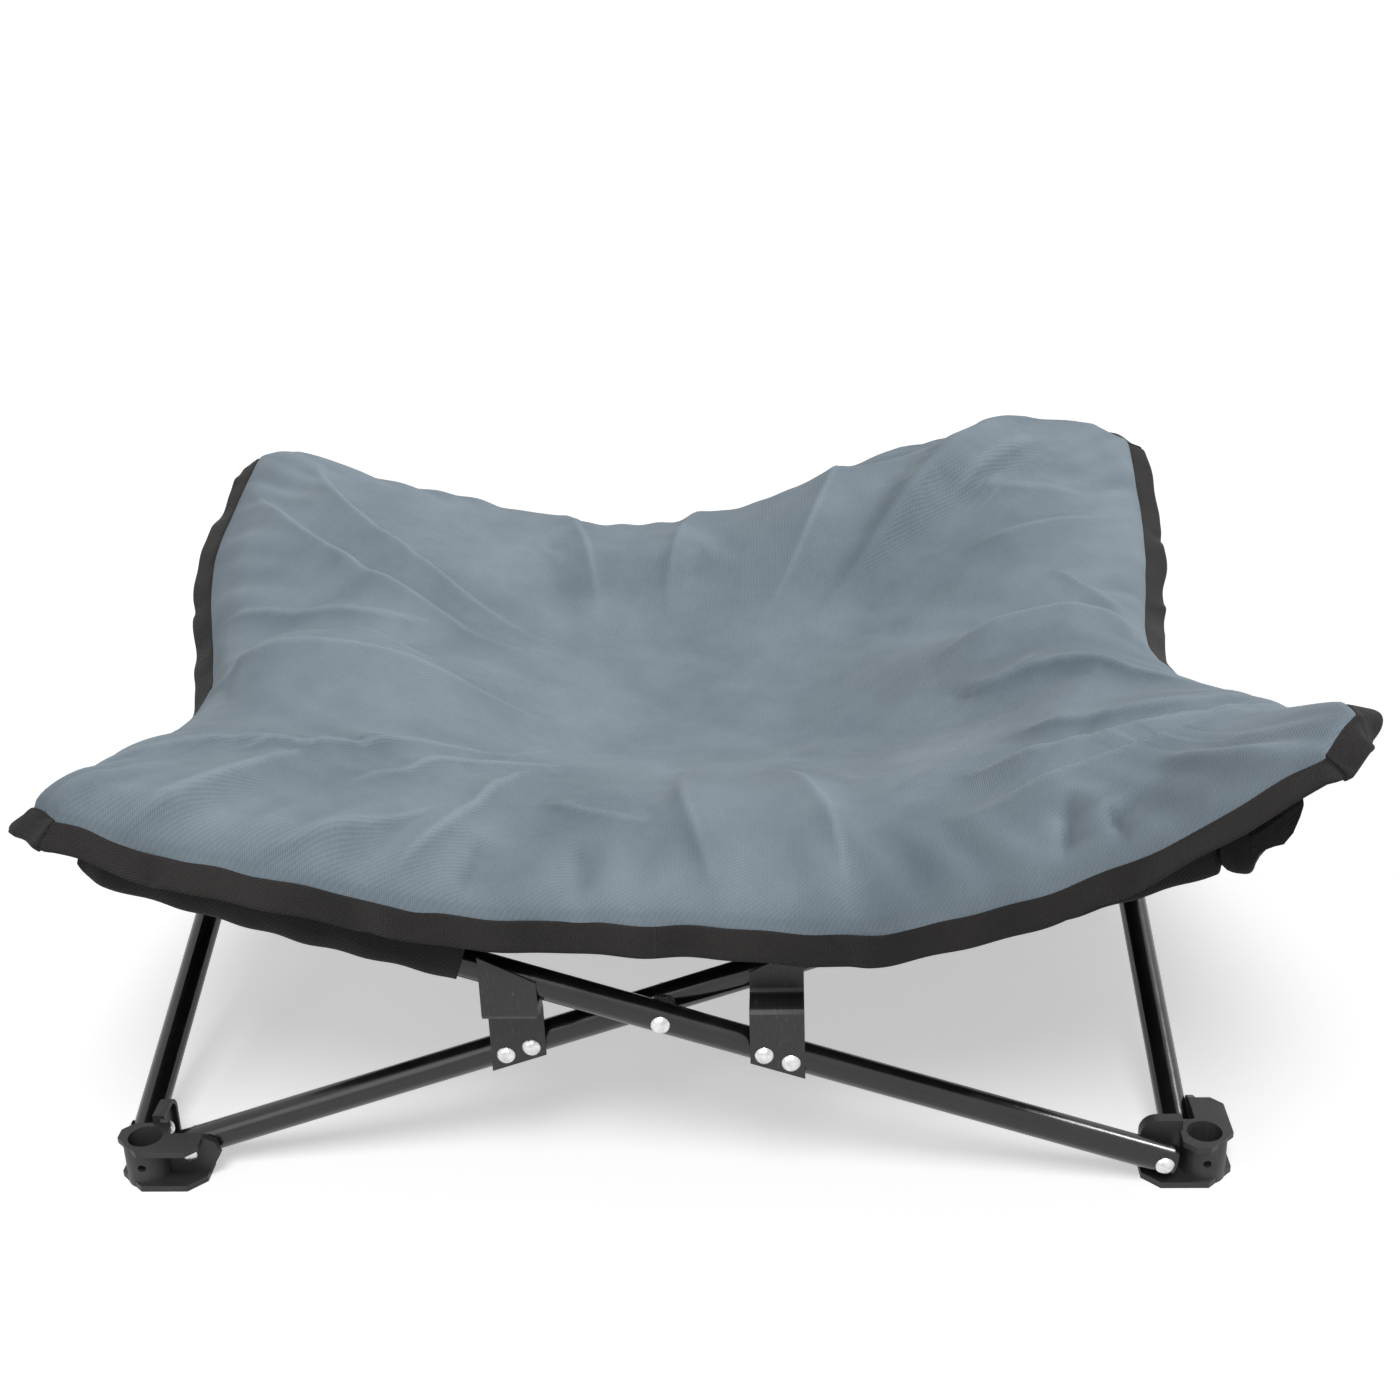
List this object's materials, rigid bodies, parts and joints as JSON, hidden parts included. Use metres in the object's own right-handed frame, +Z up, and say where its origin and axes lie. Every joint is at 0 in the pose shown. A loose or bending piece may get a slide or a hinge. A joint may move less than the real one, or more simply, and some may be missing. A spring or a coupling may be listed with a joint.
{
  "type": "folding dog cot",
  "caption": "Square raised pet cot: a black scissor frame of straight tubes on moulded corner feet, folding flat into a bundle, carries a bound, padded slate-blue sling with raised corners.",
  "frame": {"origin": "centre of the cot on the floor, between the four feet, with the frame open", "axes": "+Z up, -Y towards the front side in the picture, +X to the right as seen from the front"},
  "size_m": [0.6784, 0.6784, 0.2666],
  "materials": {
    "tube_coat": "gloss black powder coat",
    "bracket_steel": "satin black coat on pressed steel",
    "rivet_steel": "bright zinc",
    "moulded_plastic": "matt black moulding",
    "black_cloth": "black woven cloth",
    "pad_cloth": "slate-blue twill, padded",
    "binding_tape": "black woven binding tape"
  },
  "bodies": {
    "front_left_foot": {"front_left_foot": "moulded_plastic"},
    "front_right_foot": {"front_right_foot": "moulded_plastic"},
    "back_right_foot": {"back_right_foot": "moulded_plastic"},
    "back_left_foot": {"back_left_foot": "moulded_plastic"},
    "front_inner": {"front_inner_tube": "tube_coat", "front_inner_bracket": "bracket_steel", "front_inner_rivets": "rivet_steel", "front_inner_plug": "moulded_plastic", "front_inner_sleeve": "black_cloth", "front_inner_pad_gore": "pad_cloth", "front_inner_binding": "binding_tape"},
    "front_outer": {"front_outer_tube": "tube_coat", "front_outer_bracket": "bracket_steel", "front_outer_rivets": "rivet_steel", "front_outer_plug": "moulded_plastic", "front_outer_sleeve": "black_cloth", "front_outer_pad_gore": "pad_cloth", "front_outer_binding": "binding_tape"},
    "right_inner": {"right_inner_tube": "tube_coat", "right_inner_bracket": "bracket_steel", "right_inner_rivets": "rivet_steel", "right_inner_plug": "moulded_plastic", "right_inner_sleeve": "black_cloth", "right_inner_pad_gore": "pad_cloth", "right_inner_binding": "binding_tape"},
    "right_outer": {"right_outer_tube": "tube_coat", "right_outer_bracket": "bracket_steel", "right_outer_rivets": "rivet_steel", "right_outer_plug": "moulded_plastic", "right_outer_sleeve": "black_cloth", "right_outer_pad_gore": "pad_cloth", "right_outer_binding": "binding_tape"},
    "back_inner": {"back_inner_tube": "tube_coat", "back_inner_bracket": "bracket_steel", "back_inner_rivets": "rivet_steel", "back_inner_plug": "moulded_plastic", "back_inner_sleeve": "black_cloth", "back_inner_pad_gore": "pad_cloth", "back_inner_binding": "binding_tape"},
    "back_outer": {"back_outer_tube": "tube_coat", "back_outer_bracket": "bracket_steel", "back_outer_rivets": "rivet_steel", "back_outer_plug": "moulded_plastic", "back_outer_sleeve": "black_cloth", "back_outer_pad_gore": "pad_cloth", "back_outer_binding": "binding_tape"},
    "left_inner": {"left_inner_tube": "tube_coat", "left_inner_bracket": "bracket_steel", "left_inner_rivets": "rivet_steel", "left_inner_plug": "moulded_plastic", "left_inner_sleeve": "black_cloth", "left_inner_pad_gore": "pad_cloth", "left_inner_binding": "binding_tape"},
    "left_outer": {"left_outer_tube": "tube_coat", "left_outer_bracket": "bracket_steel", "left_outer_rivets": "rivet_steel", "left_outer_plug": "moulded_plastic", "left_outer_sleeve": "black_cloth", "left_outer_pad_gore": "pad_cloth", "left_outer_binding": "binding_tape"}
  },
  "joints": [
    {"name": "frame_fold", "type": "hinge", "parent": "front_left_foot", "child": "front_inner", "pos_m": [-0.26, -0.2715, 0.014], "axis": [0, -1, 0], "range_deg": [0, 62], "deforming": ["front_inner_pad_gore", "front_inner_binding", "front_outer_pad_gore", "front_outer_binding", "right_inner_pad_gore", "right_inner_binding", "right_outer_pad_gore", "right_outer_binding", "back_inner_pad_gore", "back_inner_binding", "back_outer_pad_gore", "back_outer_binding", "left_inner_pad_gore", "left_inner_binding", "left_outer_pad_gore", "left_outer_binding"]},
    {"name": "front_pivot", "type": "hinge", "parent": "front_inner", "child": "front_outer", "pos_m": [0, -0.2805, 0.10201], "axis": [0, 1, 0], "range_deg": [0, 124]},
    {"name": "front_right_foot_pivot", "type": "hinge", "parent": "front_outer", "child": "front_right_foot", "pos_m": [0.26, -0.2895, 0.014], "axis": [0, -1, 0], "range_deg": [0, 62]},
    {"name": "right_inner_pivot", "type": "hinge", "parent": "front_right_foot", "child": "right_inner", "pos_m": [0.2715, -0.26, 0.014], "axis": [1, 0, 0], "range_deg": [0, 62]},
    {"name": "right_pivot", "type": "hinge", "parent": "right_inner", "child": "right_outer", "pos_m": [0.2805, 0, 0.10201], "axis": [-1, 0, 0], "range_deg": [0, 124]},
    {"name": "back_right_foot_pivot", "type": "hinge", "parent": "right_outer", "child": "back_right_foot", "pos_m": [0.2895, 0.26, 0.014], "axis": [1, 0, 0], "range_deg": [0, 62]},
    {"name": "left_outer_pivot", "type": "hinge", "parent": "front_left_foot", "child": "left_outer", "pos_m": [-0.2895, -0.26, 0.014], "axis": [1, 0, 0], "range_deg": [0, 62]},
    {"name": "left_pivot", "type": "hinge", "parent": "left_outer", "child": "left_inner", "pos_m": [-0.2805, 0, 0.10201], "axis": [-1, 0, 0], "range_deg": [0, 124]},
    {"name": "back_left_foot_pivot", "type": "hinge", "parent": "left_inner", "child": "back_left_foot", "pos_m": [-0.2715, 0.26, 0.014], "axis": [1, 0, 0], "range_deg": [0, 62]},
    {"name": "back_outer_pivot", "type": "hinge", "parent": "back_left_foot", "child": "back_outer", "pos_m": [-0.26, 0.2895, 0.014], "axis": [0, -1, 0], "range_deg": [0, 62]},
    {"name": "back_pivot", "type": "hinge", "parent": "back_outer", "child": "back_inner", "pos_m": [0, 0.2805, 0.10201], "axis": [0, 1, 0], "range_deg": [0, 124]}
  ],
  "couplings": [
    {"joint": "front_pivot", "follows": "frame_fold", "ratio": 2},
    {"joint": "front_right_foot_pivot", "follows": "frame_fold", "ratio": 1},
    {"joint": "right_inner_pivot", "follows": "frame_fold", "ratio": 1},
    {"joint": "right_pivot", "follows": "frame_fold", "ratio": 2},
    {"joint": "back_right_foot_pivot", "follows": "frame_fold", "ratio": 1},
    {"joint": "left_outer_pivot", "follows": "frame_fold", "ratio": 1},
    {"joint": "left_pivot", "follows": "frame_fold", "ratio": 2},
    {"joint": "back_left_foot_pivot", "follows": "frame_fold", "ratio": 1},
    {"joint": "back_outer_pivot", "follows": "frame_fold", "ratio": 1},
    {"joint": "back_pivot", "follows": "frame_fold", "ratio": 2}
  ]
}
